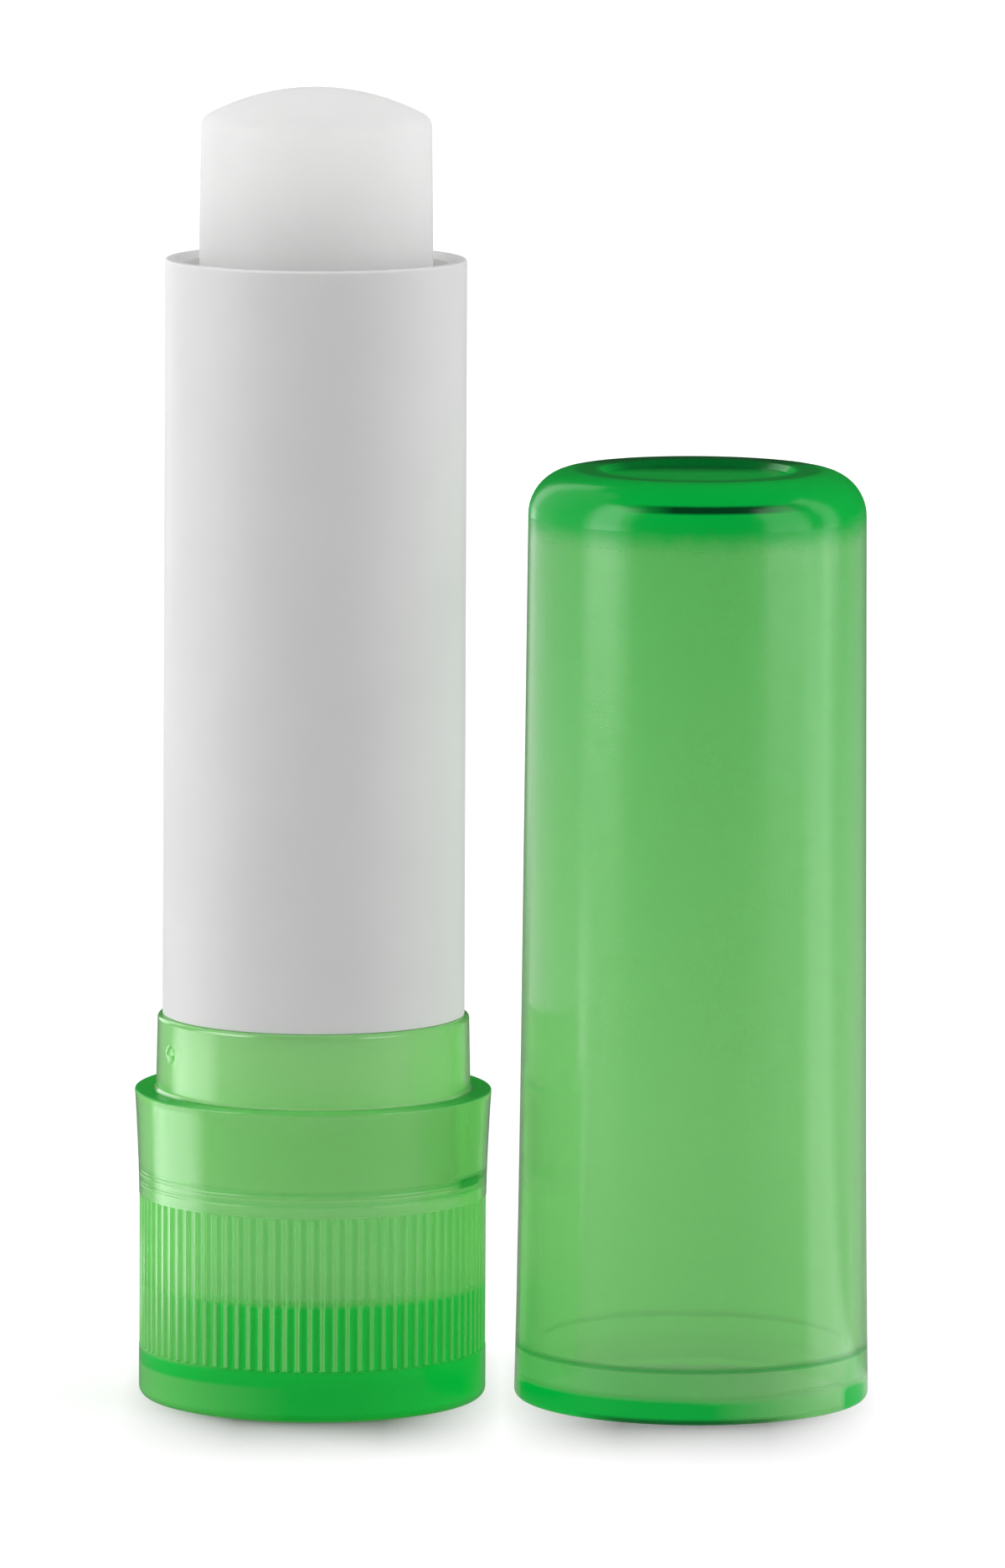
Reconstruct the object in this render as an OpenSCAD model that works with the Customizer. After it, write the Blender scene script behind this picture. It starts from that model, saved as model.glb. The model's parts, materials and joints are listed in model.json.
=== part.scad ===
// Twist-up lip balm stick, standing open beside its own cap.
// Millimetres, +Z up. The origin is the centre of the underside of the base.
// Every diameter grows outwards from the balm, wall by wall and gap by gap.
// Every height grows upwards from the floor of the base.

/* [Balm] */
// Diameter of the balm
balm_d = 12.7; // [10:0.1:16]
// How much narrower across the balm is where its dome begins
balm_taper = 0.15; // [0:0.05:0.5]
// Height of the tapered stretch below the dome
balm_taper_h = 6; // [2:0.5:12]
// Radius of the sphere that domes the tip
balm_dome_r = 12.5; // [9:0.5:20]
// Rounding where the dome meets the side
balm_edge_r = 0.8; // [0.2:0.1:1.5]
// How far the tip stands above the mouth as drawn
balm_out = 9.3; // [1:0.1:25]
// How far the tip lies below the mouth when wound right down
balm_hide = 1; // [0.5:0.1:3]

/* [Elevator] */
// Wall of the elevator cup round the balm
elevator_wall = 0.7; // [0.5:0.05:1.2]
// Inside depth of the elevator cup
elevator_depth = 7; // [4:0.5:12]
// Floor of the elevator cup
elevator_floor = 1; // [0.6:0.1:2]
// Length of the nut below the elevator floor
nut_h = 4.5; // [3:0.5:7]
// Wall of the nut round its thread
nut_wall = 1.1; // [0.8:0.1:1.8]
// How far below the mouth the elevator's rim stops when wound right up
elevator_stop = 1; // [0.8:0.1:3]
// Gap all round between the elevator and the barrel
slide_gap = 0.2; // [0.1:0.05:0.4]

/* [Lead screw] */
// Diameter over the thread
screw_d = 4.6; // [4:0.1:6]
// Height of the thread on its core
thread_h = 0.7; // [0.4:0.05:1]
// Width of each thread, measured level
thread_w = 1.2; // [0.8:0.1:1.6]
// Climb of the elevator in one full turn
thread_lead = 7; // [5:0.5:10]
// Gap all round between the thread and the nut
thread_gap = 0.16; // [0.12:0.02:0.3]
// Gap all round between the thread and the hole up the balm
screw_room = 0.3; // [0.2:0.05:0.6]
// Width across the corners of the six-sided foot
hex_d = 4.8; // [3:0.1:6]
// Thickness of the flange that seats on the socket
flange_h = 0.8; // [0.5:0.1:1.5]
// How far the flange reaches past the corners of the foot
flange_lip = 0.8; // [0.4:0.1:1.5]
// Space between the flange and the nut when wound right down
nut_room = 2; // [0.5:0.1:4]

/* [Barrel] */
// Wall of the barrel at its mouth
barrel_wall = 0.95; // [0.8:0.05:1.5]
// How much thicker that wall is at the shoulder
barrel_draft = 0.06; // [0:0.01:0.2]
// Height of the barrel above the collar
barrel_h = 41.4; // [30:0.1:60]
// Wall of the tail that turns in the collar
tail_wall = 0.6; // [0.5:0.05:0.9]
// Length of the tail below the collar
tail_h = 5.6; // [3:0.1:6.5]
// Width of the bevel inside the mouth
mouth_bevel = 0.45; // [0.2:0.05:0.6]
// Depth of the bevel inside the mouth
mouth_bevel_h = 0.3; // [0.1:0.05:0.6]
// Rounding of the mouth's outer edge
mouth_edge_r = 0.12; // [0.05:0.01:0.2]
// Number of guide ribs inside the barrel
rib_n = 4; // [2:1:8]
// Height of a guide rib above the bore
rib_h = 0.5; // [0.3:0.05:0.55]
// Width of a guide rib
rib_w = 0.9; // [0.6:0.1:1.4]
// Distance of the ribs' upper ends below the mouth
rib_stop = 2; // [1.5:0.1:4]
// Distance of the ribs' lower ends above the end of the tail
rib_lead = 0.8; // [0.4:0.1:2]

/* [Collar] */
// Space between the snap bead on the tail and the base
bead_room = 0.32; // [0.3:0.02:0.5]
// Running gap all round between the tail and the collar
turn_gap = 0.06; // [0.03:0.01:0.1]
// End play between the barrel and the collar, at each end
end_gap = 0.06; // [0.03:0.01:0.15]
// Wall of the collar where it is pressed into the base
collar_wall = 0.69; // [0.6:0.01:1.2]
// How much narrower across the neck is at its top
neck_taper = 0.15; // [0:0.05:0.3]
// Height of the neck above the rim of the base
neck_h = 4.1; // [3:0.1:6]
// Depth of the collar inside the base
collar_depth = 4.85; // [3:0.05:6]
// Rounding of the neck's top edge
neck_edge_r = 0.22; // [0.05:0.01:0.3]
// Width and height of the bead that stops the collar on the rim
stop_bead = 0.15; // [0.1:0.05:0.3]
// Diameter of a snap bump on the neck
bump_d = 1.1; // [0.6:0.1:1.6]
// Height of a snap bump
bump_h = 0.2; // [0.1:0.05:0.3]
// Height of the bumps above the rim
bump_z = 2.25; // [1.2:0.05:3]
// Bearing of the first bump, the second is opposite
bump_bearing = 205; // [0:5:359]

/* [Base] */
// Wall of the base at its rim
base_wall = 1.14; // [0.9:0.02:1.6]
// How much the wall thins below the rim
base_flare = 0.25; // [0:0.01:0.3]
// Height of the base
base_h = 17; // [16:0.5:24]
// Thickness of the floor
floor_h = 2.1; // [1.4:0.1:3]
// Rounding of the foot
foot_r = 0.5; // [0.2:0.1:1]
// Rounding inside, where the wall meets the floor
floor_r = 0.6; // [0.2:0.1:1]
// Height of the screw's socket above the floor
socket_h = 3.1; // [2:0.1:4]
// Wall of the socket
socket_wall = 1.2; // [0.8:0.1:2]
// Floor left under the socket
socket_floor = 1; // [0.8:0.1:1.3]
// Fit gap all round each piece that is pressed into the base
press_gap = 0.02; // [0.01:0.01:0.04]
// Rounding of the rim's outer edge
rim_edge_r = 0.12; // [0.05:0.01:0.3]
// Number of grip flutes
flute_n = 86; // [24:2:90]
// Depth of a flute
flute_h = 0.18; // [0.08:0.02:0.25]
// How far the lands between the flutes lie below the smooth bands
grip_inset = 0.02; // [0.01:0.01:0.05]
// How far the fluted ring runs into the smooth bands
grip_lap = 0.3; // [0.1:0.1:0.4]
// Radius of the round that cuts a flute
flute_r = 0.3; // [0.25:0.01:0.35]
// Height at which the flutes begin
flute_z0 = 2.8; // [1.5:0.1:5]
// Height at which the flutes end
flute_z1 = 11.2; // [8:0.1:14]

/* [Cap] */
// Height of the cap
cap_h = 51.1; // [48:0.1:90]
// Wall of the cap at its mouth
cap_wall = 1.06; // [0.9:0.02:1.5]
// Gap all round between the neck and the cap
cap_gap = 0.06; // [0.03:0.01:0.15]
// How much smaller the cap's outer radius is at its top than above the flare
cap_draft = 0.4; // [0.1:0.05:0.6]
// How far the mouth flares out
cap_flare = 0.125; // [0:0.005:0.2]
// Height of that flare
cap_flare_h = 20; // [5:1:30]
// How much smaller the cap's inner radius is at its top
cap_bore_draft = 0.2; // [0:0.05:0.3]
// Thickness of the cap's top
cap_top = 1.2; // [0.8:0.1:2]
// Outer rounding of the cap's top
cap_top_r = 2.5; // [1:0.1:4]
// Inner rounding of the cap's top
cap_inner_r = 1.6; // [0.5:0.1:3]
// Bevel inside the cap's mouth
cap_bevel = 0.3; // [0.2:0.05:0.4]
// Height of the snap groove inside the cap
groove_h = 1.45; // [1.2:0.05:2]
// Depth of the snap groove
groove_depth = 0.24; // [0.22:0.02:0.4]
// Diameter of the shallow recess on top
recess_d = 10.7; // [6:0.1:13]
// Depth of that recess
recess_h = 0.3; // [0.1:0.05:0.5]
// Rounding outside the cap's mouth
cap_lip_r = 0.4; // [0.1:0.05:0.5]
// Space between the base and the cap that stands beside it
cap_apart = 1.32; // [0.5:0.02:40]

/* [Hidden] */
$fn = 96;
thread_steps = 16;
root_points = 2;
flare_steps = 6;
corner_steps = 5;
green = [0.32, 0.74, 0.38, 0.7];
white = [0.95, 0.95, 0.95];
wax = [0.93, 0.93, 0.92];

// Radii, from the balm outwards
balm_r = balm_d / 2;
elevator_r = balm_r + elevator_wall;
bore_r = elevator_r + slide_gap;
mouth_r = bore_r + barrel_wall;
shoulder_r = mouth_r + barrel_draft;
tail_r = bore_r + tail_wall;
collar_bore_r = tail_r + turn_gap;
collar_r = collar_bore_r + collar_wall;
neck_r = collar_r - neck_taper / 2;
cup_r = collar_r + press_gap;
bead_r = cup_r - bead_room;
rim_r = cup_r + base_wall;
base_r = rim_r - base_flare;
land_r = base_r - grip_inset;
cap_bore_r = collar_r + cap_gap;
cap_r = cap_bore_r + cap_wall;
cap_x = rim_r + cap_apart + cap_r;
core_r = screw_d / 2 - thread_h;
nut_r = screw_d / 2 + thread_gap + nut_wall;
flange_r = hex_d / 2 + flange_lip;

// Heights, from the floor of the base upwards
socket_z = floor_h + socket_h;
flange_z = socket_z + flange_h;
collar_z = base_h - collar_depth;
neck_z = base_h + neck_h;
tail_z = collar_z - end_gap - tail_h;
shoulder_z = neck_z + end_gap;
mouth_z = neck_z + barrel_h;
low_floor_z = flange_z + nut_room + nut_h + elevator_floor;
balm_len = mouth_z - balm_hide - low_floor_z;
top_floor_z = mouth_z - elevator_stop - elevator_depth;
tip_z = mouth_z + balm_out;
balm_z = tip_z - balm_len;
nut_z = balm_z - elevator_floor - nut_h;

// Turn of the thread, in degrees, from the floor up to height z
function turn(z) = 360 * z / thread_lead;

// Outer radius of the base at height z
function base_at(z) = base_r + base_flare * pow(max(0, z - flute_z1) / (base_h - flute_z1), 1.4);

// Outer radius of the cap at height z
function cap_at(z) = cap_r - cap_flare - cap_draft * z / cap_h
    + cap_flare * pow(max(0, 1 - z / cap_flare_h), 2);

// Points of a rounded corner about centre c, from bearing a0 to a1
function corner(c, r, a0, a1) = [for (i = [0:corner_steps])
    let (a = a0 + i * (a1 - a0) / corner_steps)
    c + r * [cos(a), sin(a)]];

// Level section of the double thread, grown by gap
module thread_section(gap) {
    r = screw_d / 2 + gap;
    core = core_r + gap;
    half = thread_w / 2 + gap;
    a_core = asin(half / core);
    a_tip = asin(half / r);
    polygon([for (side = [0, 180]) each concat(
        [for (a = [-a_tip, 0, a_tip]) r * [cos(a + side), sin(a + side)]],
        [for (i = [0:root_points + 1])
            let (a = a_core + i * (180 - 2 * a_core) / (root_points + 1))
            core * [cos(a + side), sin(a + side)]]
    )]);
}

// Right-hand double thread from height z0 to z1, grown by gap
module thread(z0, z1, gap) {
    translate([0, 0, z0])
        rotate(turn(z0))
            linear_extrude(
                z1 - z0,
                twist = -turn(z1 - z0),
                slices = ceil((z1 - z0) / thread_lead * thread_steps),
                segments = 1
            )
                thread_section(gap);
}

// Ribs or notches along the barrel's bore, from radius r0 outwards
module ribs(r0, width, z0, z1) {
    for (i = [0:rib_n - 1])
        rotate(45 + i * 360 / rib_n)
            translate([r0, -width / 2, z0])
                cube([bore_r + tail_wall / 2 - r0, width, z1 - z0]);
}

// Closed-bottomed cup that carries everything, with the grip flutes
module base_cup() {
    color(green)
        difference() {
            union() {
                difference() {
                    cup_body();
                    rotate_extrude()
                        cup_bore_outline();
                }
                translate([0, 0, socket_floor])
                    cylinder(h = socket_z - socket_floor, r = hex_d / 2 + socket_wall);
            }
            translate([0, 0, socket_floor])
                cylinder(h = socket_z, d = hex_d, $fn = 6);
        }
}

// Solid outside of the base: smooth foot, fluted grip and flared band
module cup_body() {
    rotate_extrude()
        foot_outline();
    translate([0, 0, flute_z0 - grip_lap])
        linear_extrude(flute_z1 - flute_z0 + 2 * grip_lap)
            fluted_outline();
    rotate_extrude()
        rim_outline();
}

// Smooth band of the base below the flutes, with its rounded foot
module foot_outline() {
    foot_in = base_r - foot_r;
    translate([foot_in, foot_r])
        circle(foot_r);
    square([foot_in, flute_z0]);
    translate([0, foot_r])
        square([base_r, flute_z0 - foot_r]);
}

// Flared band of the base above the flutes, with its rounded rim
module rim_outline() {
    flare_h = base_h - rim_edge_r - flute_z1;
    polygon(concat(
        [[0, flute_z1]],
        [for (i = [0:flare_steps - 1])
            let (z = flute_z1 + i * flare_h / flare_steps)
            [base_at(z), z]],
        corner([rim_r - rim_edge_r, base_h - rim_edge_r], rim_edge_r, 0, 90),
        [[0, base_h]]
    ));
}

// Round of the base with every flute cut from it
module fluted_outline() {
    difference() {
        circle(land_r, $fn = 4 * flute_n);
        for (i = [0:flute_n - 1])
            rotate(i * 360 / flute_n)
                translate([land_r + flute_r - flute_h, 0])
                    circle(flute_r, $fn = 24);
    }
}

// Room inside the base, with its floor's rounded corner
module cup_bore_outline() {
    corner_r = cup_r - floor_r;
    translate([corner_r, floor_h + floor_r])
        circle(floor_r);
    translate([0, floor_h])
        square([corner_r, base_h]);
    translate([0, floor_h + floor_r])
        square([cup_r, base_h]);
}

// Neck ring pressed into the base, which holds the barrel and snaps into the cap
module neck_collar() {
    color(green)
        union() {
            rotate_extrude() {
                polygon([
                    [collar_bore_r, collar_z],
                    [collar_r, collar_z],
                    [collar_r, base_h],
                    [collar_r + stop_bead, base_h],
                    [collar_r, base_h + stop_bead],
                    [neck_r, neck_z - neck_edge_r],
                    [neck_r - neck_edge_r, neck_z - neck_edge_r],
                    [neck_r - neck_edge_r, neck_z],
                    [collar_bore_r, neck_z]
                ]);
                translate([neck_r - neck_edge_r, neck_z - neck_edge_r])
                    circle(neck_edge_r, $fn = 32);
            }
            for (side = [0, 180])
                rotate(bump_bearing + side)
                    translate([collar_r - neck_taper / 2 * bump_z / neck_h, 0, base_h + bump_z])
                        rotate([0, 90, 0])
                            rotate_extrude()
                                bump_outline();
        }
}

// Half section of a snap bump: a slice of a ball on a stub sunk in the wall
module bump_outline() {
    ball_r = (pow(bump_d / 2, 2) + pow(bump_h, 2)) / bump_h / 2;
    intersection() {
        translate([0, bump_h - ball_r])
            circle(ball_r);
        square([bump_d / 2, bump_h]);
    }
    translate([0, -collar_wall / 2])
        square([bump_d / 2, collar_wall / 2]);
}

// Spindle with its flange and six-sided foot
module lead_screw() {
    color(green)
        union() {
            translate([0, 0, socket_floor + press_gap])
                cylinder(h = socket_z - socket_floor, d = hex_d - 2 * press_gap, $fn = 6);
            translate([0, 0, socket_z])
                cylinder(h = flange_h, r = flange_r);
            thread(socket_z + flange_h / 2, top_floor_z, 0);
        }
}

// Tube that the stick is held by, with its tail, snap bead and guide ribs
module barrel() {
    color(white)
        union() {
            rotate_extrude()
                polygon(concat(
                    [
                        [bore_r, tail_z],
                        [tail_r, tail_z],
                        [bead_r, tail_z + tail_h / 4],
                        [bead_r, collar_z - end_gap],
                        [tail_r, collar_z - end_gap],
                        [tail_r, shoulder_z],
                        [shoulder_r, shoulder_z]
                    ],
                    corner([mouth_r - mouth_edge_r, mouth_z - mouth_edge_r], mouth_edge_r, 0, 90),
                    [
                        [bore_r + mouth_bevel, mouth_z],
                        [bore_r, mouth_z - mouth_bevel_h]
                    ]
                ));
            ribs(bore_r - rib_h, rib_w, tail_z + rib_lead, mouth_z - rib_stop);
        }
}

// Cup that holds the foot of the balm and climbs the screw
module elevator_cup() {
    color(white)
        difference() {
            union() {
                translate([0, 0, balm_z - elevator_floor])
                    cylinder(h = elevator_floor + elevator_depth, r = elevator_r);
                translate([0, 0, nut_z])
                    cylinder(h = nut_h + elevator_floor, r = nut_r);
            }
            translate([0, 0, balm_z])
                cylinder(h = elevator_depth + elevator_floor, r = balm_r);
            ribs(bore_r - rib_h - slide_gap, rib_w + 2 * slide_gap, nut_z, tip_z);
            thread(nut_z - elevator_floor, balm_z + elevator_floor, thread_gap);
        }
}

// Domed stick of balm, hollow where the screw stands in it
module balm() {
    side_r = balm_r - balm_taper / 2;
    ball_z = tip_z - balm_dome_r;
    edge_z = ball_z + sqrt(pow(balm_dome_r - balm_edge_r, 2) - pow(side_r - balm_edge_r, 2));
    reach = balm_dome_r / (balm_dome_r - balm_edge_r);
    cut = [(side_r - balm_edge_r) * reach, ball_z + (edge_z - ball_z) * reach];
    color(wax)
        difference() {
            rotate_extrude() {
                polygon([
                    [0, balm_z],
                    [balm_r, balm_z],
                    [balm_r, edge_z - balm_taper_h],
                    [side_r, edge_z],
                    [side_r - balm_edge_r, edge_z],
                    cut,
                    [0, cut.y]
                ]);
                translate([side_r - balm_edge_r, edge_z])
                    circle(balm_edge_r);
                intersection() {
                    translate([0, ball_z])
                        circle(balm_dome_r, $fn = 240);
                    translate([0, cut.y])
                        square([cut.x, balm_dome_r]);
                }
            }
            translate([0, 0, balm_z - elevator_floor])
                cylinder(
                    h = top_floor_z - low_floor_z + elevator_floor + screw_room,
                    r = screw_d / 2 + screw_room
                );
        }
}

// Cap, standing on its open mouth
module cap() {
    inner_top = cap_h - cap_top;
    inner_r = cap_bore_r - cap_bore_draft;
    corner_z = cap_h - cap_top_r;
    corner_r = cap_at(corner_z) - cap_top_r;
    groove_z = bump_z - groove_h / 2;
    color(green)
        translate([cap_x, 0, 0])
            rotate_extrude()
                difference() {
                    union() {
                        polygon(concat(
                            [[0, 0]],
                            corner([cap_at(cap_lip_r) - cap_lip_r, cap_lip_r], cap_lip_r, -90, 0),
                            [for (i = [1:flare_steps])
                                let (z = i * cap_flare_h / flare_steps)
                                [cap_at(z), z]],
                            [[cap_at(corner_z), corner_z], [0, corner_z]]
                        ));
                        translate([corner_r, corner_z])
                            circle(cap_top_r);
                        translate([0, corner_z])
                            square([corner_r, cap_top_r]);
                    }
                    polygon([
                        [0, 0],
                        [cap_bore_r + cap_bevel, 0],
                        [cap_bore_r, cap_bevel],
                        [inner_r, inner_top - cap_inner_r],
                        [0, inner_top - cap_inner_r]
                    ]);
                    translate([inner_r - cap_inner_r, inner_top - cap_inner_r])
                        circle(cap_inner_r);
                    translate([0, inner_top - 2 * cap_inner_r])
                        square([inner_r - cap_inner_r, 2 * cap_inner_r]);
                    translate([0, groove_z])
                        square([cap_bore_r + groove_depth, groove_h]);
                    polygon([
                        [0, cap_h - recess_h],
                        [recess_d / 2 - recess_h, cap_h - recess_h],
                        [recess_d / 2, cap_h],
                        [0, cap_h]
                    ]);
                }
}

base_cup();
neck_collar();
lead_screw();
barrel();
elevator_cup();
balm();
cap();
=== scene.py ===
import json
import math

import bpy
from mathutils import Matrix, Vector

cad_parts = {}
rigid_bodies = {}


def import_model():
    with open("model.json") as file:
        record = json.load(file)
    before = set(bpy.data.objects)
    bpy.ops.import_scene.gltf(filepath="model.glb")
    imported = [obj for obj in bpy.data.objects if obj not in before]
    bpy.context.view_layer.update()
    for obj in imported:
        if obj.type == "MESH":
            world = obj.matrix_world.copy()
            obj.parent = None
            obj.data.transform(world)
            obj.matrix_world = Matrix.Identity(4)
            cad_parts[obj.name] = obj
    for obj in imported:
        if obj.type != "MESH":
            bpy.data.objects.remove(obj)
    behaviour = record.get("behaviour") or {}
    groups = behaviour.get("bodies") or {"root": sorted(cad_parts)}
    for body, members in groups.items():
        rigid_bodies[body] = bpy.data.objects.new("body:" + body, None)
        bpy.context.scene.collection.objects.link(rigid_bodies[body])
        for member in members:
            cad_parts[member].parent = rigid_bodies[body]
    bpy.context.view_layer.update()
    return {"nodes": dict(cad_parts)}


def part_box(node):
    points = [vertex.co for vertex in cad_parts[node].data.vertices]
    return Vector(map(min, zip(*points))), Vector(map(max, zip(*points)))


for leftover in list(bpy.data.objects):
    bpy.data.objects.remove(leftover)
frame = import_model()

# Lengths are in metres and angles in degrees. X grows to the right, Y away from the camera and Z
# up. An edge is a pair of places, between which a value changes.

# Where things stand, from the frame
STICK_X = 0.0
CAP_X = sum(corner.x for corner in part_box("cap")) / 2
PAIR_X = (STICK_X + CAP_X) / 2
RIM_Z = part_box("base_cup")[1].z
TAIL_END_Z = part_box("barrel")[0].z
CAP_TOP_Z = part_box("cap")[1].z

# The photograph's viewpoint, fitted to the ellipses of the mouth, the rim and the foot. The lens
# and the width of the sensor are in millimetres.
CAMERA_PLACE = (0.01027, -0.700, 0.1268)
CAMERA_TILT = 82.43
CAMERA_ROLL = 0.318
CAMERA_LENS = 297.1
CAMERA_CLIP = 0.01, 20.0
SENSOR = 36.0

# Light, as radiance, where 1 is white: a dim room, what it has more behind the pair, with the edge
# of that in a direction's Y, the part of the room that glossy surfaces mirror, and the backdrop
ROOM_LIGHT = 0.37
ROOM_LIGHT_BEHIND = 0.35
ROOM_BEHIND_EDGE = 0.0, 0.8
ROOM_IN_GLOSS = 0.05
BACKDROP_WHITE = 1.0

# How far the lamps stand from the pair, and how tall they are
LAMP_DISTANCE, LAMP_HEIGHT = 0.5, 0.6

# The floor: half its width, the grey of its paper as it is seen and as glossy surfaces mirror it,
# and the light it adds where it is seen, near the pair and far from it
FLOOR_HALF = 6.0
FLOOR_GREY, FLOOR_GREY_IN_GLOSS = 0.36, 0.12
FLOOR_GLOW_NEAR, FLOOR_GLOW_FAR = 0.72, 1.0
FLOOR_GLOW_EDGE = 0.05, 0.60

# Its contact shade: how far a piece's shade reaches, the way in which the floor looks for pieces,
# so that the shade lies before them, and the edges of how open it finds that side and of how far
# it is to the left or right of a piece's axis
TOUCH_REACH = 0.016
TOUCH_WAY = (0.0, 0.90, 0.44)
TOUCH_OPEN_EDGE = 0.58, 0.97
TOUCH_SIDE_EDGE = 0.004, 0.0105

# What glossy surfaces find on the floor: a glow all over, and patches of the lamps' light. A patch
# has a bearing from the camera's side, growing to the left, half its spread, its radiance, which
# is below 0 where it takes light away, and the distances from the stick at which it begins and
# ends. It fades in and out up to these multiples of them.
FLOOR_IN_GLOSS = 0.16
SHINE_FADE_IN, SHINE_FADE_OUT = 1.8, 1.2
FLOOR_SHINE = (
    (97.0, 28.0, 2.5, 0.025, 0.170),
    (150.0, 14.0, 1.2, 0.018, 0.050),
    (-90.0, 14.0, 1.05, 0.025, 9.0),
    (180.0, 36.0, -0.13, 0.001, 9.0),
    (150.0, 14.0, 0.6, 0.150, 9.0),
)

# Colours of the green plastic's milky part: deep in the base, where it is also painted shade, in a
# thin wall, where it is also painted light from the left, as a painted highlight on the crests of
# the flutes, in thick places and as painted shade on the dome, the rim and the spot, as painted
# shade in dark lines, and then of the cap's wall and of the painted shade on its lip
GREEN_BODY = (0.0, 0.80, 0.095, 1.0)
GREEN_HAZE = (0.36, 0.88, 0.30, 1.0)
GREEN_CREST_HIGHLIGHT = (0.48, 0.98, 0.42, 1.0)
GREEN_THICK_AND_SHADED = (0.0, 0.44, 0.052, 1.0)
GREEN_PAINTED_SHADE = (0.0, 0.05, 0.012, 1.0)
CAP_HAZE = (0.335, 0.71, 0.285, 1.0)
CAP_LIP_SHADE = (0.0, 0.54, 0.064, 1.0)

# What its clear part leaves of light at a face, and about what it leaves over a millimetre
WHITE = (1.0, 1.0, 1.0, 1.0)
NECK_TINT = (0.68, 0.98, 0.60, 1.0)
CAP_TINT = (0.35, 0.78, 0.33, 1.0)
NECK_DEPTH = (0.85, 0.97, 0.805, 1.0)
BASE_DEPTH = (0.715, 0.965, 0.65, 1.0)
PER_MILLIMETRE = 1000.0

# The two whites that mix in the tube's plastic, and in the wax
TUBE_WHITES = (0.80, 0.80, 0.80, 1.0), (0.83, 0.83, 0.828, 1.0)
WAX_WHITES = (0.93, 0.93, 0.925, 1.0), (0.96, 0.96, 0.955, 1.0)

# The part of the wax that light shines through
WAX_GLOW = 0.38

# The base's flutes: their band, how soft its ends are, the radius of their crests and how deep
# they are, and the edges of the grooves and of the crests, as parts of that depth
FLUTES_LOW, FLUTES_HIGH, FLUTES_SOFT = 0.0028, 0.0112, 0.0001
FLUTES_CREST, FLUTES_DEPTH = 0.00949, 0.00018
GROOVES_EDGE = 0.90, 0.65
CRESTS_EDGE = 0.60, 0.25

# The base from its foot to its rim, by height, and the front of its rim. Above it, the collar
# shows as the neck, and below it this part of the collar's faces is left out.
FOOT_LIGHT_EDGE = 0.0018, 0.0020
FOOT_EDGE = FLUTES_LOW - 0.0002, FLUTES_LOW
TAIL_EDGE = TAIL_END_Z - 0.0003, TAIL_END_Z
SKIRT_EDGE = FLUTES_HIGH, FLUTES_HIGH + 0.0010
RIM_GLOSS_EDGE = RIM_Z - 0.0005, RIM_Z - 0.0003
RIM_EDGE = RIM_Z - 0.00014, RIM_Z - 0.00004
RIM_FRONT_EDGE = -0.0090, -0.0055
NECK_EDGE = RIM_Z - 0.0001, RIM_Z
COLLAR_SUNK = 0.85

# The base's milky share below and above the end of the tail, higher below it as painted shade, what
# is added to it in the foot, in the grooves, on the spot, on the skirt and on the rim, where that
# in the grooves, on the spot and on the rim is painted shade, and the part of the rim's at its
# front
BASE_MILK = 0.62, 0.40
FOOT_MILK, GROOVES_SHADE_MILK, SPOT_SHADE_MILK, SKIRT_MILK, RIM_SHADE_MILK = 0.28, 0.14, 0.50, -0.09, 0.88
RIM_FRONT = 0.5

# How much painted shade deepens its colour on the two lines, and in the grooves below and above the
# end of the tail, and the gloss that its rim keeps
RING_LINES_SHADE = 0.55
GROOVES_SHADE = 0.75, 0.30
RIM_GLOSS = 0.25

# Where and how strongly the base is lit from the left, on its foot and above it, and where its
# crests lose light and how much they keep
LIT_FOOT_EDGE, LIT_FOOT = (-0.0085, -0.0010), 0.6
LIT_WALL_EDGE, LIT_WALL = (-0.0085, -0.0045), 0.85
LIT_CRESTS_EDGE, LIT_CRESTS = (-0.002, 0.007), 0.45

# The two lines around the base, as height and half width, and the spot of painted shade at their
# right
RING_LINES = (0.0125, 0.00014), (0.0119, 0.00012)
SPOT_X, SPOT_Z, SPOT_HALF = 0.0086, 0.01245, 0.00042
SPOT_SIDE_EDGE = 0.0004, 0.0011
SPOT_FRONT_EDGE = -0.001, 0.0

# The cap's wall by height: how milky it is, how rough inside, and how deep its colour, which
# painted shade darkens towards the top
CAP_WALL_EDGE, CAP_WALL_MILK = (0.004, CAP_TOP_Z - 0.0030), (0.31, 0.39)
CAP_HAZE_EDGE, CAP_ROUGHNESS = (0.004, 0.020), (0.06, 0.19)
CAP_COLOUR_EDGE, CAP_COLOUR_SHADE = (0.015, CAP_TOP_Z - 0.0040), 0.55

# Its domed top: how milky it is, how deep its colour, for its thickness and as painted shade, how
# uneven the two begin, and the painted shade on its back
DOME_EDGE, DOME_MILK = (CAP_TOP_Z - 0.0040, CAP_TOP_Z - 0.0018), 0.62
DOME_COLOUR_EDGE = CAP_TOP_Z - 0.0040, CAP_TOP_Z - 0.0024
DOME_UNEVEN = 0.0002
BACK_HEIGHT_EDGE = CAP_TOP_Z - 0.0020, CAP_TOP_Z - 0.0010
BACK_EDGE, BACK_DARK = (0.0008, 0.0036), 0.75

# The edge of the recess in its top: radius, side and height, and how dark the painted shade on it
# is
RECESS_RADIUS, RECESS_SIDE_EDGE = 0.0061, (0.0004, 0.0008)
RECESS_EDGE, RECESS_DARK = (CAP_TOP_Z - 0.0008, CAP_TOP_Z - 0.0006), 0.35

# The painted dark lens in the front of its dome, standing in for a refraction: its middle, half its
# height, its side and its front
LENS_ASIDE, LENS_Z, LENS_HALF = 0.0008, CAP_TOP_Z - 0.00128, 0.00026
LENS_SIDE_EDGE = 0.0022, 0.0052
LENS_FRONT_EDGE = -0.0085, -0.0035

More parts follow.
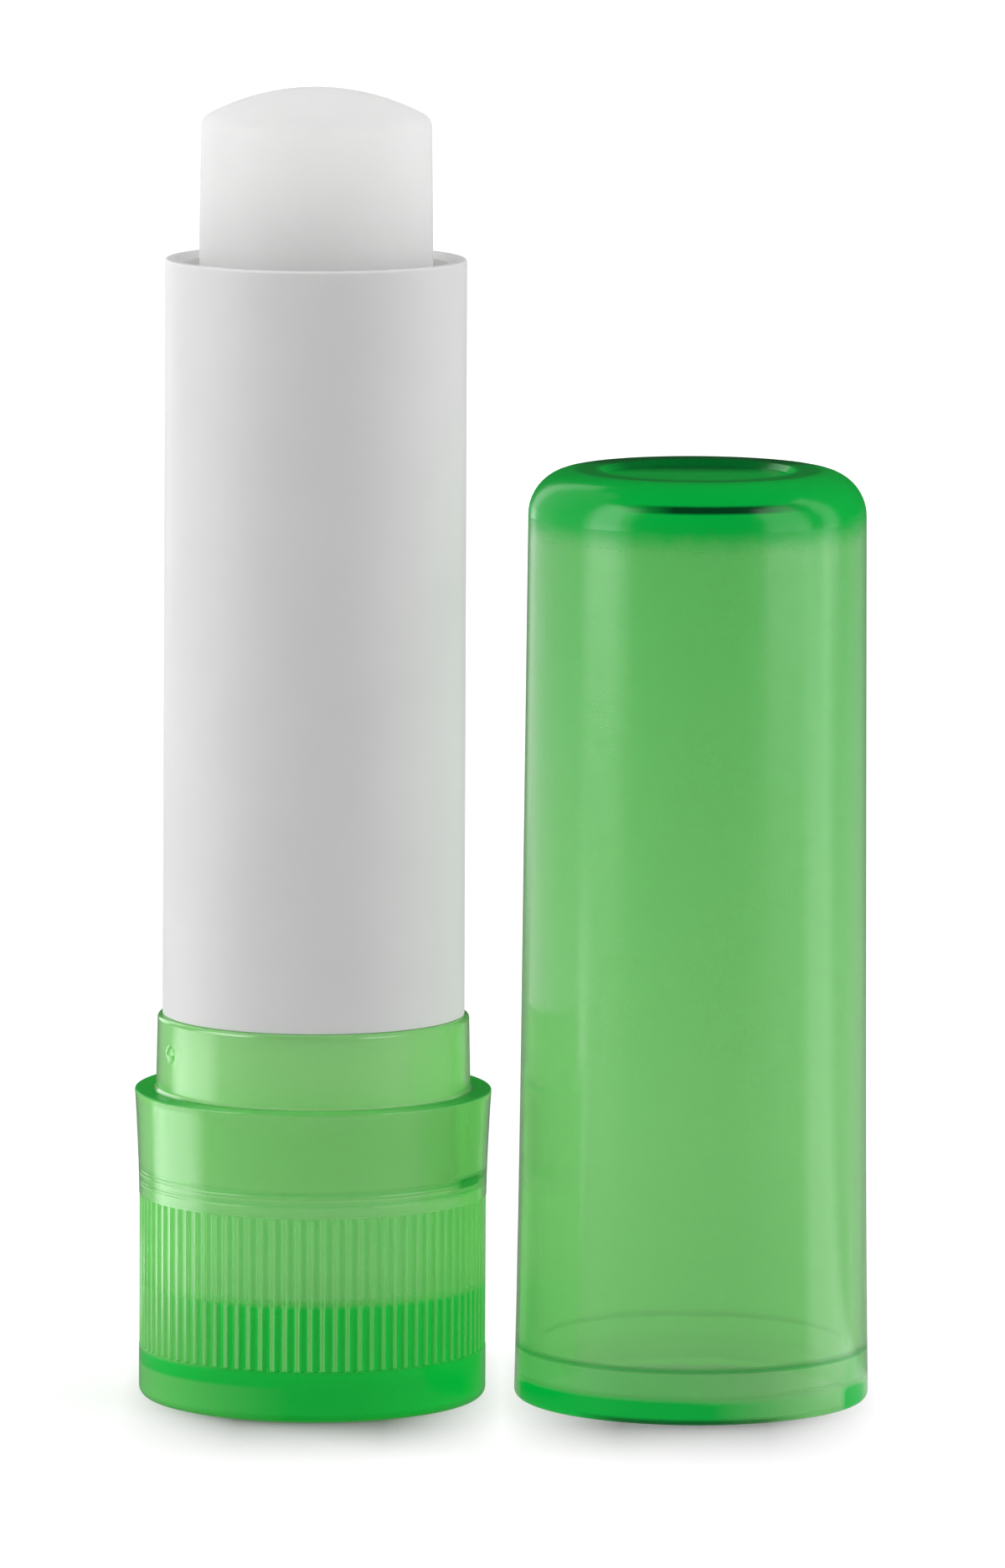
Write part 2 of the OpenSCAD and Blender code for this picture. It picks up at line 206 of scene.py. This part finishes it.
# Its snap groove: its lower and upper edge with half the width of their lines of painted shade, the
# lower line's part of the upper one, how dark both are, and how strong on the bore and outside it,
# by radius
GROOVE_LOW, GROOVE_LOW_HALF = 0.00150, 0.00013
GROOVE_HIGH, GROOVE_HIGH_HALF = 0.00295, 0.00015
GROOVE_LOW_PART, GROOVE_DARK = 0.40, 0.4
GROOVE_OUTSIDE_EDGE, GROOVE_STRENGTH = (0.0091 - 0.0001, 0.0091), (0.85, 0.70)

# Its lip, whose front is deepened by painted shade: how milky it is below and beside the groove,
# the front half of it, its thick outline, what its right keeps, and how much stronger its colour is
# than its milk
LIP_LOW_EDGE, LIP_LOW_SHADE = (GROOVE_LOW - 0.0004, GROOVE_LOW), 0.50
LIP_HIGH_EDGE, LIP_HIGH_SHADE = (GROOVE_HIGH - 0.0002, GROOVE_HIGH), 0.30
LIP_FRONT_EDGE = -0.0035, 0.0
LIP_OUTLINE_EDGE = 0.0079, 0.0085
LIP_RIGHT_EDGE, LIP_RIGHT = (-0.0010, 0.0060), 0.25
LIP_COLOUR = 1.6

# The painted shade under the front of its lip, a dark line, by height and by place
LIP_LINE_EDGE = 0.00022, 0.00042
LIP_LINE_FRONT_EDGE, LIP_LINE_DARK = (-0.0088, -0.0072), 0.8


class Nodes:
    """A material's or a world's node tree, with short calls to add and join nodes."""

    def __init__(self, owner):
        owner.use_nodes = True
        self.tree = owner.node_tree
        self.tree.nodes.clear()

    def add(self, kind, inputs=None, **settings):
        node = self.tree.nodes.new(kind)
        for name, value in settings.items():
            setattr(node, name, value)
        for name, value in (inputs or {}).items():
            self.feed(node.inputs[name], value)
        return node

    def feed(self, socket, value):
        if isinstance(value, bpy.types.NodeSocket):
            self.tree.links.new(value, socket)
        else:
            socket.default_value = value

    def maths(self, operation, value, *others):
        """The operation on a value and each of the others in turn, or on the value alone."""
        for other in others or (0.0,):
            node = self.add("ShaderNodeMath", {0: value, 1: other}, operation=operation)
            value = node.outputs["Value"]
        return value

    def vector_maths(self, operation, *vectors):
        node = self.add("ShaderNodeVectorMath", dict(enumerate(vectors)), operation=operation)
        return node.outputs

    def place(self):
        """A point's place on its own piece, which goes along when the piece moves to a pose."""
        return self.add("ShaderNodeTexCoord").outputs["Object"]

    def noise(self, scale, detail=2.0, roughness=0.5):
        inputs = {
            "Vector": self.place(),
            "Scale": scale,
            "Detail": detail,
            "Roughness": roughness,
        }
        return self.add("ShaderNodeTexNoise", inputs).outputs["Fac"]

    def spread(self, value, low, high, start=0.3, end=0.7, soft=False):
        """low where the value is at start, high where it is at end, and in between otherwise."""
        node = self.add(
            "ShaderNodeMapRange",
            {"Value": value, "From Min": start, "From Max": end, "To Min": low, "To Max": high},
            interpolation_type="SMOOTHSTEP" if soft else "LINEAR",
        )
        return node.outputs["Result"]

    def bump(self, height, distance, strength=1.0, under=None):
        inputs = {"Height": height, "Distance": distance, "Strength": strength}
        if under is not None:
            inputs["Normal"] = under
        return self.add("ShaderNodeBump", inputs).outputs["Normal"]


def new_material(name):
    material = bpy.data.materials.new(name)
    return material, Nodes(material)


def position(nodes):
    return nodes.add("ShaderNodeSeparateXYZ", {"Vector": nodes.place()}).outputs


def along(nodes, axis, edge, before, after):
    """A value that goes from before to after as a point's place on an axis crosses an edge."""
    return nodes.spread(position(nodes)[axis], before, after, *edge)


def off(nodes, value, middle):
    """How far a value is from a middle, to either side."""
    return nodes.maths("ABSOLUTE", nodes.maths("SUBTRACT", value, middle))


def near_height(nodes, height, half):
    """1 at a height, falling to 0 at half above and below it."""
    return nodes.spread(off(nodes, position(nodes)["Z"], height), 1.0, 0.0, half * 0.5, half)


def from_axis(nodes, x):
    """A point's distance from the upright axis at x."""
    moved = nodes.vector_maths("SUBTRACT", nodes.place(), (x, 0.0, 0.0))["Vector"]
    flat = nodes.vector_maths("MULTIPLY", moved, (1.0, 1.0, 0.0))["Vector"]
    return nodes.vector_maths("LENGTH", flat)["Value"]


def in_flutes(nodes, inner, outer, edge):
    """A value that goes from inner to outer as the fluted surface stands out, and is 0 elsewhere.

    The edge's two places are parts of the flutes' depth, below their crests."""
    start, end = (FLUTES_CREST - FLUTES_DEPTH * part for part in edge)
    return nodes.maths(
        "MULTIPLY",
        nodes.spread(from_axis(nodes, STICK_X), inner, outer, start, end),
        along(nodes, "Z", (FLUTES_LOW, FLUTES_LOW + FLUTES_SOFT), 0.0, 1.0),
        along(nodes, "Z", (FLUTES_HIGH - FLUTES_SOFT, FLUTES_HIGH), 1.0, 0.0),
    )


def colour_mix(nodes, factor, a, b):
    mix = nodes.add("ShaderNodeMix", {"Factor": factor, "A": a, "B": b}, data_type="RGBA")
    return mix.outputs["Result"]


def colour_layers(nodes, colour, *layers):
    """The colour with other ones laid over it in turn, each as a pair of its mask and itself."""
    for mask, layer in layers:
        colour = colour_mix(nodes, mask, colour, layer)
    return colour


def shader_mix(nodes, factor, a, b):
    mix = nodes.add("ShaderNodeMixShader", {"Fac": factor})
    nodes.feed(mix.inputs[1], a)
    nodes.feed(mix.inputs[2], b)
    return mix.outputs["Shader"]


def made(nodes, look):
    """A look is a value, or a function that makes it in the node tree."""
    return look(nodes) if callable(look) else look


def green_plastic(
    name, tint, haze, milk, glow_share=0.4, coat_roughness=0.16, relief=None, polish=1.0
):
    """Green polypropylene, part clear and part milky.

    tint and haze are the clear part's colour and roughness, and milk is the milky part's share and
    colour, of which glow_share passes light on. relief is the height of fine marks, and polish is
    the weight of the gloss coat. Returns the material, its nodes and its shader, which
    finish_green joins to the output."""
    material, nodes = new_material(name)
    ripple = nodes.noise(420.0)
    grain = nodes.noise(5200.0)
    uneven = nodes.spread(nodes.noise(900.0, detail=3.0), 0.8, 1.25)
    normal = nodes.bump(ripple, distance=0.00003, strength=0.5)
    normal = nodes.bump(grain, distance=0.000004, strength=0.4, under=normal)
    if relief is not None:
        normal = nodes.bump(relief(nodes), distance=0.00003, under=normal)
    share, colour = made(nodes, milk)
    coat = {
        "Coat Weight": made(nodes, polish),
        "Coat Roughness": coat_roughness,
        "Coat IOR": 1.5,
        "Normal": normal,
    }
    clear = {
        "Base Color": made(nodes, tint),
        "Transmission Weight": 1.0,
        "IOR": 1.47,
        "Roughness": nodes.maths("MULTIPLY", uneven, made(nodes, haze)),
    }
    skin = {"Base Color": colour, "Roughness": 0.3, "IOR": 1.47, "Specular IOR Level": 0.05}
    clear = nodes.add("ShaderNodeBsdfPrincipled", {**clear, **coat}).outputs["BSDF"]
    skin = nodes.add("ShaderNodeBsdfPrincipled", {**skin, **coat}).outputs["BSDF"]
    glow = nodes.add("ShaderNodeBsdfTranslucent", {"Color": colour, "Normal": normal})
    body = shader_mix(nodes, glow_share, skin, glow.outputs["BSDF"])
    return material, nodes, shader_mix(nodes, share, clear, body)


def open_face(nodes):
    """A face that light passes as if it weren't there."""
    return nodes.add("ShaderNodeBsdfTransparent").outputs["BSDF"]


def finish_green(material, nodes, shader, passing, depth=None):
    """Join the shader to the output, and return the material.

    passing is the part of the lamps' and of the lit surfaces' light that the wall lets through,
    and depth is what the plastic leaves of light inside."""
    path = nodes.add("ShaderNodeLightPath").outputs
    lamps = nodes.maths("MAXIMUM", path["Is Shadow Ray"], path["Is Diffuse Ray"])
    passed = nodes.maths("MULTIPLY", lamps, passing)
    surface = shader_mix(nodes, passed, shader, open_face(nodes))
    output = nodes.add("ShaderNodeOutputMaterial", {"Surface": surface})
    if depth is not None:
        inside = nodes.add(
            "ShaderNodeVolumeAbsorption", {"Color": depth, "Density": PER_MILLIMETRE}
        )
        nodes.feed(output.inputs["Volume"], inside.outputs["Volume"])
    return material


def ring_lines(nodes):
    """1 on the two fine lines around the base above its flutes."""
    return nodes.maths("MAXIMUM", *(near_height(nodes, *line) for line in RING_LINES))


def ring_spot_shade(nodes):
    """1 on the dark spot of painted shade at the right of those lines."""
    aside = off(nodes, position(nodes)["X"], SPOT_X)
    return nodes.maths(
        "MULTIPLY",
        near_height(nodes, SPOT_Z, SPOT_HALF),
        nodes.spread(aside, 1.0, 0.0, *SPOT_SIDE_EDGE),
        along(nodes, "Y", SPOT_FRONT_EDGE, 1.0, 0.0),
    )


def base_rim_shade(nodes):
    """The painted shade on the top of the base's rim, as milky share, weaker at the front."""
    top = along(nodes, "Z", RIM_EDGE, 0.0, RIM_SHADE_MILK)
    return nodes.maths("MULTIPLY", top, along(nodes, "Y", RIM_FRONT_EDGE, RIM_FRONT, 1.0))


def base_lit(nodes):
    """Where light from the left passes through the base's foot and through its wall above it."""
    foot = nodes.maths(
        "MULTIPLY",
        along(nodes, "X", LIT_FOOT_EDGE, LIT_FOOT, 0.0),
        along(nodes, "Z", FOOT_LIGHT_EDGE, 1.0, 0.0),
    )
    wall = nodes.maths(
        "MULTIPLY",
        along(nodes, "X", LIT_WALL_EDGE, LIT_WALL, 0.0),
        along(nodes, "Z", FOOT_EDGE, 0.0, 1.0),
    )
    return nodes.maths("MAXIMUM", foot, wall)


def base_milk(nodes):
    """The base's milky share and colour, which are stronger below the end of the tail as painted
    shade.

    Above it the white tail shows through, and below it there is only green plastic. They also hold
    painted shade in the grooves, on the lines, the spot and the rim, painted light from the left
    and a painted highlight on the crests."""
    # The grooves, where painted shade deepens the colour
    grooves = in_flutes(nodes, 1.0, 0.0, GROOVES_EDGE)
    # Painted highlight on the flutes' crests, weaker towards the right
    crest_highlight = in_flutes(nodes, 0.0, 1.0, CRESTS_EDGE)
    crest_highlight = nodes.maths("MULTIPLY", crest_highlight, along(nodes, "X", LIT_CRESTS_EDGE, 1.0, LIT_CRESTS))
    # Painted shade on the spot at the right of the lines
    spot_shade = ring_spot_shade(nodes)
    # Painted shade on the top of the rim
    rim_shade = base_rim_shade(nodes)
    marks = nodes.maths(
        "MAXIMUM",
        nodes.maths("MULTIPLY", grooves, GROOVES_SHADE_MILK),
        nodes.maths("MULTIPLY", spot_shade, SPOT_SHADE_MILK),
    )
    # The milky share, higher below the end of the tail as painted shade, with the painted shade of
    # the marks and the rim
    share = nodes.maths(
        "ADD",
        along(nodes, "Z", TAIL_EDGE, *BASE_MILK),
        along(nodes, "Z", SKIRT_EDGE, 0.0, SKIRT_MILK),
        along(nodes, "Z", FOOT_EDGE, FOOT_MILK, 0.0),
        marks,
        rim_shade,
    )
    # Painted shade on the two lines and in the grooves
    ring_line_shade = nodes.maths("MULTIPLY", ring_lines(nodes), RING_LINES_SHADE)
    flute_groove_shade = nodes.maths("MULTIPLY", grooves, along(nodes, "Z", TAIL_EDGE, *GROOVES_SHADE))
    colour = colour_layers(
        nodes,
        GREEN_BODY,
        (along(nodes, "Z", TAIL_EDGE, 0.0, 1.0), GREEN_HAZE),
        (nodes.maths("MAXIMUM", ring_line_shade, flute_groove_shade), GREEN_BODY),
        (spot_shade, GREEN_THICK_AND_SHADED),
        (base_lit(nodes), GREEN_HAZE),
        (rim_shade, GREEN_THICK_AND_SHADED),
        (crest_highlight, GREEN_CREST_HIGHLIGHT),
    )
    return share, colour


def base_green():
    """The base has fine ring lines in relief, and its rim is nearly matt."""
    parts = green_plastic(
        "green_polypropylene",
        tint=WHITE,
        haze=0.09,
        milk=base_milk,
        relief=lambda nodes: nodes.maths("SUBTRACT", 1.0, ring_lines(nodes)),
        polish=lambda nodes: along(nodes, "Z", RIM_GLOSS_EDGE, 1.0, RIM_GLOSS),
    )
    return finish_green(*parts, passing=0.7, depth=BASE_DEPTH)


def neck_green():
    """The collar is deeper in colour, and inside the base its tight fit leaves hardly a face."""

    def tint(nodes):
        return colour_mix(nodes, along(nodes, "Z", NECK_EDGE, 0.0, 1.0), WHITE, NECK_TINT)

    material, nodes, shader = green_plastic(
        "green_neck_polypropylene", tint, haze=0.12, milk=(0.32, GREEN_HAZE)
    )
    sunk = along(nodes, "Z", NECK_EDGE, COLLAR_SUNK, 0.0)
    shader = shader_mix(nodes, sunk, shader, open_face(nodes))
    return finish_green(material, nodes, shader, passing=0.8, depth=NECK_DEPTH)


def cap_lip_shade(nodes):
    """Painted shade on the front of the cap's lip, as milky share, stronger below the groove and at
    the outline, and weaker towards the right.
    """
    side = nodes.maths("SUBTRACT", position(nodes)["X"], CAP_X)
    outline = nodes.spread(nodes.maths("ABSOLUTE", side), 0.0, 1.0, *LIP_OUTLINE_EDGE)
    less_right = nodes.spread(side, 1.0, LIP_RIGHT, *LIP_RIGHT_EDGE)
    low = along(nodes, "Z", LIP_LOW_EDGE, LIP_LOW_SHADE, 0.0)
    high = along(nodes, "Z", LIP_HIGH_EDGE, LIP_HIGH_SHADE, 0.0)
    return nodes.maths(
        "MULTIPLY",
        nodes.maths("ADD", low, high),
        nodes.maths("MAXIMUM", outline, less_right),
        along(nodes, "Y", LIP_FRONT_EDGE, 1.0, 0.0),
    )


def groove_line_shade(nodes):
    """Painted shade along the snap groove's two edges, a little stronger on the bore than outside.
    """
    high = near_height(nodes, GROOVE_HIGH, GROOVE_HIGH_HALF)
    low = near_height(nodes, GROOVE_LOW, GROOVE_LOW_HALF)
    low = nodes.maths("MULTIPLY", low, GROOVE_LOW_PART)
    strength = nodes.spread(from_axis(nodes, CAP_X), *GROOVE_STRENGTH, *GROOVE_OUTSIDE_EDGE)
    return nodes.maths("MULTIPLY", nodes.maths("ADD", high, low), strength)


def dome_lens_shade(nodes):
    """A painted dark line in the cap's front, standing in for the one that the thick dome bends
    into it.
    """
    aside = nodes.maths("SUBTRACT", position(nodes)["X"], CAP_X)
    aside = off(nodes, aside, LENS_ASIDE)
    return nodes.maths(
        "MULTIPLY",
        along(nodes, "Y", LENS_FRONT_EDGE, 1.0, 0.0),
        nodes.spread(aside, 1.0, 0.0, *LENS_SIDE_EDGE),
        near_height(nodes, LENS_Z, LENS_HALF),
    )


def recess_ring_shade(nodes):
    """Painted shade on the edge of the recess in the cap's top."""
    away = off(nodes, from_axis(nodes, CAP_X), RECESS_RADIUS)
    return nodes.maths(
        "MULTIPLY",
        nodes.spread(away, RECESS_DARK, 0.0, *RECESS_SIDE_EDGE),
        along(nodes, "Z", RECESS_EDGE, 0.0, 1.0),
    )


def dome_back_shade(nodes):
    """Painted shade on the back of the cap's top."""
    return nodes.maths(
        "MULTIPLY",
        along(nodes, "Y", BACK_EDGE, 0.0, BACK_DARK),
        along(nodes, "Z", BACK_HEIGHT_EDGE, 0.0, 1.0),
    )


def lip_line_shade(nodes):
    """Painted shade as a dark line under the front of the cap's lip."""
    return nodes.maths(
        "MULTIPLY",
        along(nodes, "Y", LIP_LINE_FRONT_EDGE, LIP_LINE_DARK, 0.0),
        along(nodes, "Z", LIP_LINE_EDGE, 1.0, 0.0),
    )


def cap_milk(nodes):
    """The cap's milky share and colour, deepest in its dome, for its thickness and as painted
    shade, and at the front of its lip, as painted shade.
    """
    # Painted shade on the front of the lip
    lip_shade = cap_lip_shade(nodes)
    # Painted shade along the snap groove's edges
    snap_groove_shade = groove_line_shade(nodes)
    # Painted shade: the dome's dark lens, the recess's edge, the top's back, the line under the lip
    # and the snap groove's lines
    painted_shade = nodes.maths(
        "MAXIMUM",
        dome_lens_shade(nodes),
        recess_ring_shade(nodes),
        dome_back_shade(nodes),
        lip_line_shade(nodes),
        nodes.maths("MULTIPLY", snap_groove_shade, GROOVE_DARK),
    )
    cloud = nodes.noise(900.0, detail=5.0, roughness=0.6)
    uneven = nodes.spread(cloud, -DOME_UNEVEN, DOME_UNEVEN)
    height = nodes.maths("ADD", position(nodes)["Z"], uneven)
    wall = along(nodes, "Z", CAP_WALL_EDGE, *CAP_WALL_MILK)
    dome = nodes.spread(height, 0.0, DOME_MILK, *DOME_EDGE, soft=True)
    share = nodes.maths("MAXIMUM", nodes.maths("ADD", wall, dome, lip_shade), painted_shade, snap_groove_shade)
    # Painted shade darkens the wall towards the top, and the dome is deeper still
    wall_shade = along(nodes, "Z", CAP_COLOUR_EDGE, 0.0, CAP_COLOUR_SHADE)
    deep = nodes.spread(height, wall_shade, 1.0, *DOME_COLOUR_EDGE, soft=True)
    lip_deep = nodes.maths("MAXIMUM", nodes.maths("MULTIPLY", lip_shade, LIP_COLOUR), snap_groove_shade)
    colour = colour_layers(
        nodes,
        CAP_HAZE,
        (deep, GREEN_THICK_AND_SHADED),
        (nodes.maths("MINIMUM", lip_deep, 1.0), CAP_LIP_SHADE),
        (painted_shade, GREEN_PAINTED_SHADE),
    )
    return share, colour


def cap_green():
    """The cap is clearer near its mouth, and lets nearly all of the lamps' light through."""
    parts = green_plastic(
        "green_cap_polypropylene",
        tint=CAP_TINT,
        haze=lambda nodes: along(nodes, "Z", CAP_HAZE_EDGE, *CAP_ROUGHNESS),
        milk=cap_milk,
        glow_share=0.5,
        coat_roughness=0.17,
    )
    return finish_green(*parts, passing=0.95)


def white_plastic():
    """Opaque white polypropylene with a satin gloss."""
    material, nodes = new_material("white_polypropylene")
    cloud = nodes.noise(160.0, detail=3.0)
    grain = nodes.noise(6500.0)
    body = nodes.add(
        "ShaderNodeBsdfPrincipled",
        {
            "Base Color": colour_mix(nodes, nodes.spread(cloud, 0.0, 1.0), *TUBE_WHITES),
            "Roughness": nodes.spread(nodes.noise(1300.0, detail=3.0), 0.40, 0.48),
            "IOR": 1.49,
            "Specular IOR Level": 0.25,
            "Subsurface Weight": 0.15,
            "Subsurface Radius": (0.0010, 0.0010, 0.0009),
            "Subsurface Scale": 1.0,
            "Normal": nodes.bump(grain, distance=0.000006, strength=0.5),
        },
    )
    nodes.add("ShaderNodeOutputMaterial", {"Surface": body.outputs["BSDF"]})
    return material


def balm_wax():
    """Off-white wax: light sinks in, and the skin is slightly uneven."""
    material, nodes = new_material("balm_wax")
    cloud = nodes.noise(260.0, detail=4.0)
    pits = nodes.noise(2600.0, detail=3.0)
    colour = colour_mix(nodes, nodes.spread(cloud, 0.0, 1.0), *WAX_WHITES)
    normal = nodes.bump(cloud, distance=0.00004, strength=0.5)
    body = nodes.add(
        "ShaderNodeBsdfPrincipled",
        {
            "Base Color": colour,
            "Roughness": nodes.spread(pits, 0.42, 0.52),
            "IOR": 1.44,
            "Specular IOR Level": 0.2,
            "Subsurface Weight": 1.0,
            "Subsurface Radius": (0.0200, 0.0198, 0.0190),
            "Subsurface Scale": 1.0,
            "Normal": nodes.bump(pits, distance=0.000012, strength=0.5, under=normal),
        },
    )
    glow = nodes.add("ShaderNodeBsdfTranslucent", {"Color": colour})
    skin = shader_mix(nodes, WAX_GLOW, body.outputs["BSDF"], glow.outputs["BSDF"])
    nodes.add("ShaderNodeOutputMaterial", {"Surface": skin})
    return material


def dress(material, *names):
    for name in names:
        for place in frame["nodes"][name].material_slots:
            place.material = material


def seen_directly(nodes):
    """1 on rays that come from the camera, or from it by way of clear plastic."""
    path = nodes.add("ShaderNodeLightPath").outputs
    return nodes.maths("MAXIMUM", path["Is Camera Ray"], path["Is Transmission Ray"])


def make_world():
    """White where it is seen; otherwise a dim room, lighter behind the object."""
    world = bpy.data.worlds.new("studio")
    bpy.context.scene.world = world
    nodes = Nodes(world)
    way = nodes.add("ShaderNodeTexCoord").outputs["Generated"]
    behind = nodes.add("ShaderNodeSeparateXYZ", {"Vector": way}).outputs["Y"]
    room = nodes.spread(behind, ROOM_LIGHT, ROOM_LIGHT + ROOM_LIGHT_BEHIND, *ROOM_BEHIND_EDGE)
    gloss = nodes.add("ShaderNodeLightPath").outputs["Is Glossy Ray"]
    room = nodes.maths("MULTIPLY", room, nodes.spread(gloss, 1.0, ROOM_IN_GLOSS, 0.0, 1.0))
    strength = nodes.spread(seen_directly(nodes), room, BACKDROP_WHITE, 0.0, 1.0)
    light = nodes.add("ShaderNodeBackground", {"Color": WHITE, "Strength": strength})
    nodes.add("ShaderNodeOutputWorld", {"Surface": light.outputs["Background"]})


def contact_shade(nodes):
    """The shade on the floor before the pieces, up to 1."""
    touch = nodes.add(
        "ShaderNodeAmbientOcclusion", {"Distance": TOUCH_REACH, "Normal": TOUCH_WAY}, samples=16
    ).outputs["AO"]
    across = position(nodes)["X"]
    under = (
        nodes.spread(off(nodes, across, x), 1.0, 0.0, *TOUCH_SIDE_EDGE) for x in (STICK_X, CAP_X)
    )
    closed = nodes.spread(touch, 1.0, 0.0, *TOUCH_OPEN_EDGE)
    return nodes.maths("MULTIPLY", nodes.maths("MAXIMUM", *under), closed)


def floor_shine(nodes, away, bearing, half, radiance, begins, ends):
    """One patch of the floor that glossy surfaces mirror; away is the distance from the stick."""
    way = (-math.sin(math.radians(bearing)), -math.cos(math.radians(bearing)), 0.0)
    toward = nodes.vector_maths("NORMALIZE", nodes.place())["Vector"]
    toward = nodes.vector_maths("DOT_PRODUCT", toward, way)["Value"]
    side = math.cos(math.radians(half)), math.cos(math.radians(half / 2))
    return nodes.maths(
        "MULTIPLY",
        nodes.spread(toward, 0.0, radiance, *side),
        nodes.spread(away, 0.0, 1.0, begins, SHINE_FADE_IN * begins),
        nodes.spread(away, 1.0, 0.0, ends, SHINE_FADE_OUT * ends),
    )


def make_floor():
    mesh = bpy.data.meshes.new("floor")
    corners = [(FLOOR_HALF * x, FLOOR_HALF * y, 0) for x, y in ((-1, -1), (1, -1), (1, 1), (-1, 1))]
    mesh.from_pydata(corners, [], [(0, 1, 2, 3)])
    floor = bpy.data.objects.new("floor", mesh)
    bpy.context.scene.collection.objects.link(floor)
    material, nodes = new_material("pale_floor")
    path = nodes.add("ShaderNodeLightPath").outputs
    through = nodes.maths("SUBTRACT", 1.0, path["Is Transmission Ray"])
    gloss = nodes.maths("MULTIPLY", path["Is Glossy Ray"], through)
    away = nodes.vector_maths("LENGTH", nodes.place())["Value"]
    glow = nodes.maths(
        "MULTIPLY",
        nodes.spread(away, FLOOR_GLOW_NEAR, FLOOR_GLOW_FAR, *FLOOR_GLOW_EDGE),
        nodes.maths("SUBTRACT", 1.0, contact_shade(nodes)),
        seen_directly(nodes),
    )
    shines = (floor_shine(nodes, away, *shine) for shine in FLOOR_SHINE)
    mirrored = nodes.maths("MULTIPLY", gloss, nodes.maths("ADD", FLOOR_IN_GLOSS, *shines))
    lift = nodes.add("ShaderNodeEmission", {"Strength": nodes.maths("ADD", glow, mirrored)})
    grey = nodes.spread(gloss, FLOOR_GREY, FLOOR_GREY_IN_GLOSS, 0.0, 1.0)
    paper = nodes.add("ShaderNodeBsdfDiffuse", {"Color": grey})
    both = nodes.add(
        "ShaderNodeAddShader", {0: paper.outputs["BSDF"], 1: lift.outputs["Emission"]}
    )
    nodes.add("ShaderNodeOutputMaterial", {"Surface": both.outputs["Shader"]})
    mesh.materials.append(material)


def make_softbox(name, bearing, spread, radiance, diffuse=True, glossy=True):
    """An upright flat lamp that stands on the floor around the object.

    bearing is from the camera's side, growing to the left, and spread is the angle it fills.
    Surfaces are lit by it only if it is diffuse, and mirror it only if it is glossy."""
    width = 2 * LAMP_DISTANCE * math.tan(math.radians(spread / 2))
    light = bpy.data.lights.new(name, "AREA")
    light.shape = "RECTANGLE"
    light.size = width
    light.size_y = LAMP_HEIGHT
    light.energy = radiance * math.pi * width * LAMP_HEIGHT
    lamp = bpy.data.objects.new(name, light)
    bpy.context.scene.collection.objects.link(lamp)
    lamp.visible_transmission = False
    lamp.visible_diffuse = diffuse
    lamp.visible_glossy = glossy
    turn = math.radians(bearing)
    lamp.location = (
        PAIR_X - LAMP_DISTANCE * math.sin(turn),
        -LAMP_DISTANCE * math.cos(turn),
        LAMP_HEIGHT / 2,
    )
    aim = Vector((PAIR_X, 0, LAMP_HEIGHT / 2)) - lamp.location
    lamp.rotation_euler = aim.to_track_quat("-Z", "Y").to_euler()


def make_camera():
    camera = bpy.data.cameras.new("camera")
    camera.sensor_width = SENSOR
    camera.lens = CAMERA_LENS
    camera.clip_start, camera.clip_end = CAMERA_CLIP
    stand = bpy.data.objects.new("camera", camera)
    bpy.context.scene.collection.objects.link(stand)
    tilt = Matrix.Rotation(math.radians(CAMERA_TILT), 4, "X")
    roll = Matrix.Rotation(math.radians(CAMERA_ROLL), 4, "Z")
    stand.matrix_world = Matrix.Translation(CAMERA_PLACE) @ tilt @ roll
    bpy.context.scene.camera = stand


dress(base_green(), "base_cup", "lead_screw")
dress(neck_green(), "neck_collar")
dress(cap_green(), "cap")
dress(white_plastic(), "barrel", "elevator_cup")
dress(balm_wax(), "balm")

make_world()
make_floor()
make_softbox("left_softbox", 75.0, 42.0, 2.9)
make_softbox("left_back_softbox", 125.0, 22.0, 1.7, glossy=False)
make_softbox("left_gloss", 62.0, 32.0, 2.0, diffuse=False)
make_softbox("left_back_gloss", 145.0, 24.0, 1.5, diffuse=False)
make_softbox("right_softbox", -64.0, 34.0, 2.5)
make_softbox("right_back_softbox", -102.0, 16.0, 2.0)
make_softbox("back_softbox", -145.0, 40.0, 1.2, glossy=False)
make_camera()

bpy.context.scene.view_settings.view_transform = "Standard"
